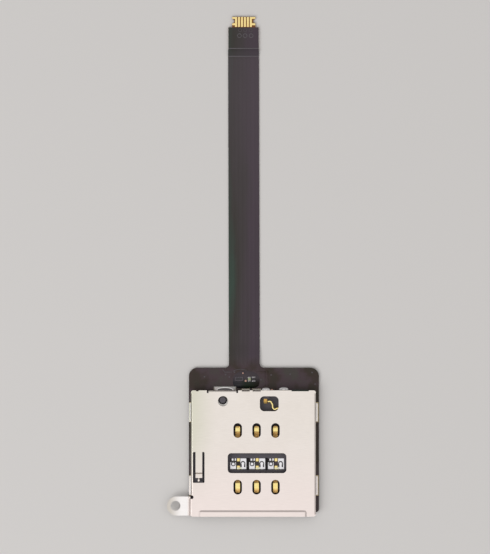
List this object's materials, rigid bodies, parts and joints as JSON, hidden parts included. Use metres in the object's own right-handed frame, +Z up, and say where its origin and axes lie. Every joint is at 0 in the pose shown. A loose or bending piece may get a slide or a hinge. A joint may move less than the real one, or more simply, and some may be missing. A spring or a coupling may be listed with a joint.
{
  "type": "card tray reader on a flex circuit",
  "caption": "Flat card tray reader with a stamped steel cover, sprung gold contacts and a pin-released ejector, on a dark flex circuit whose long tail ends in gold edge fingers.",
  "frame": {"origin": "on the underside of the board stiffener, below the middle of the steel cover", "axes": "+X across the cover, away from the fixing ear; +Y from the tray's mouth along the tail to the gold fingers; +Z up through the cover"},
  "size_m": [0.0204, 0.0674, 0.0018],
  "materials": {
    "coverlay": "satin dark brown-black polyimide coverlay",
    "stiffener": "matt black glass-epoxy laminate",
    "amber_film": "amber polyimide stiffener",
    "gold_plate": "gold-plated copper alloy",
    "moulding": "black moulded liquid-crystal polymer",
    "cover_steel": "bright rolled stainless sheet",
    "lever_steel": "plain stamped steel",
    "tin": "bright tinned copper and solder",
    "chip_green": "green-grey ceramic body",
    "chip_dark": "dark glazed ceramic body",
    "copper": "bare copper",
    "resin": "dark glossy cured resin"
  },
  "bodies": {
    "reader": {"flex_circuit": "coverlay", "board_stiffener": "stiffener", "end_stiffener": "amber_film", "edge_fingers": "gold_plate", "contact_carrier": "moulding", "cover_shell": "cover_steel", "detect_terminal": "gold_plate", "ground_pads_left": "tin", "ground_pads_right": "tin", "shell_solder_pads": "gold_plate", "switch_solder": "tin", "chip_capacitor": "chip_green", "chip_resistor": "chip_dark", "test_points": "copper", "resin_dome": "resin"},
    "contact_rear_left_body": {"contact_rear_left": "gold_plate"},
    "contact_rear_middle_body": {"contact_rear_middle": "gold_plate"},
    "contact_rear_right_body": {"contact_rear_right": "gold_plate"},
    "contact_front_left_body": {"contact_front_left": "gold_plate"},
    "contact_front_middle_body": {"contact_front_middle": "gold_plate"},
    "contact_front_right_body": {"contact_front_right": "gold_plate"},
    "detect_blade_body": {"detect_blade": "gold_plate"},
    "eject_lever_body": {"eject_lever": "lever_steel"},
    "eject_rod_body": {"eject_rod": "moulding"}
  },
  "joints": [
    {"name": "contact_rear_left_press", "type": "hinge", "parent": "reader", "child": "contact_rear_left_body", "pos_m": [-0.00211, -0.00065, 0.00035], "axis": [-1, 0, 0], "range_deg": [0, 5.9], "stiffness_Nm_per_rad": 0.0112},
    {"name": "contact_rear_middle_press", "type": "hinge", "parent": "reader", "child": "contact_rear_middle_body", "pos_m": [0.00043, -0.00065, 0.00035], "axis": [-1, 0, 0], "range_deg": [0, 5.9], "stiffness_Nm_per_rad": 0.0112},
    {"name": "contact_rear_right_press", "type": "hinge", "parent": "reader", "child": "contact_rear_right_body", "pos_m": [0.00297, -0.00065, 0.00035], "axis": [-1, 0, 0], "range_deg": [0, 5.9], "stiffness_Nm_per_rad": 0.0112},
    {"name": "contact_front_left_press", "type": "hinge", "parent": "reader", "child": "contact_front_left_body", "pos_m": [-0.00211, -0.00217, 0.00035], "axis": [1, 0, 0], "range_deg": [0, 7], "stiffness_Nm_per_rad": 0.0053},
    {"name": "contact_front_middle_press", "type": "hinge", "parent": "reader", "child": "contact_front_middle_body", "pos_m": [0.00043, -0.00217, 0.00035], "axis": [1, 0, 0], "range_deg": [0, 7], "stiffness_Nm_per_rad": 0.0053},
    {"name": "contact_front_right_press", "type": "hinge", "parent": "reader", "child": "contact_front_right_body", "pos_m": [0.00297, -0.00217, 0.00035], "axis": [1, 0, 0], "range_deg": [0, 7], "stiffness_Nm_per_rad": 0.0053},
    {"name": "detect_blade_press", "type": "hinge", "parent": "reader", "child": "detect_blade_body", "pos_m": [0.00407, 0.00822, 0.00105], "axis": [0, 0, -1], "range_deg": [0, 5], "stiffness_Nm_per_rad": 0.0053},
    {"name": "eject_lever_turn", "type": "hinge", "parent": "reader", "child": "eject_lever_body", "pos_m": [-0.00413, 0.0072, 0.00108], "axis": [0, 0, -1], "range_deg": [0, 14.9]},
    {"name": "eject_rod_slide", "type": "slide", "parent": "reader", "child": "eject_rod_body", "axis": [0, 1, 0], "range_m": [0, 0.0009]}
  ],
  "couplings": [
    {"joint": "eject_lever_turn", "follows": "eject_rod_slide", "rad_per_m": 288.95}
  ]
}
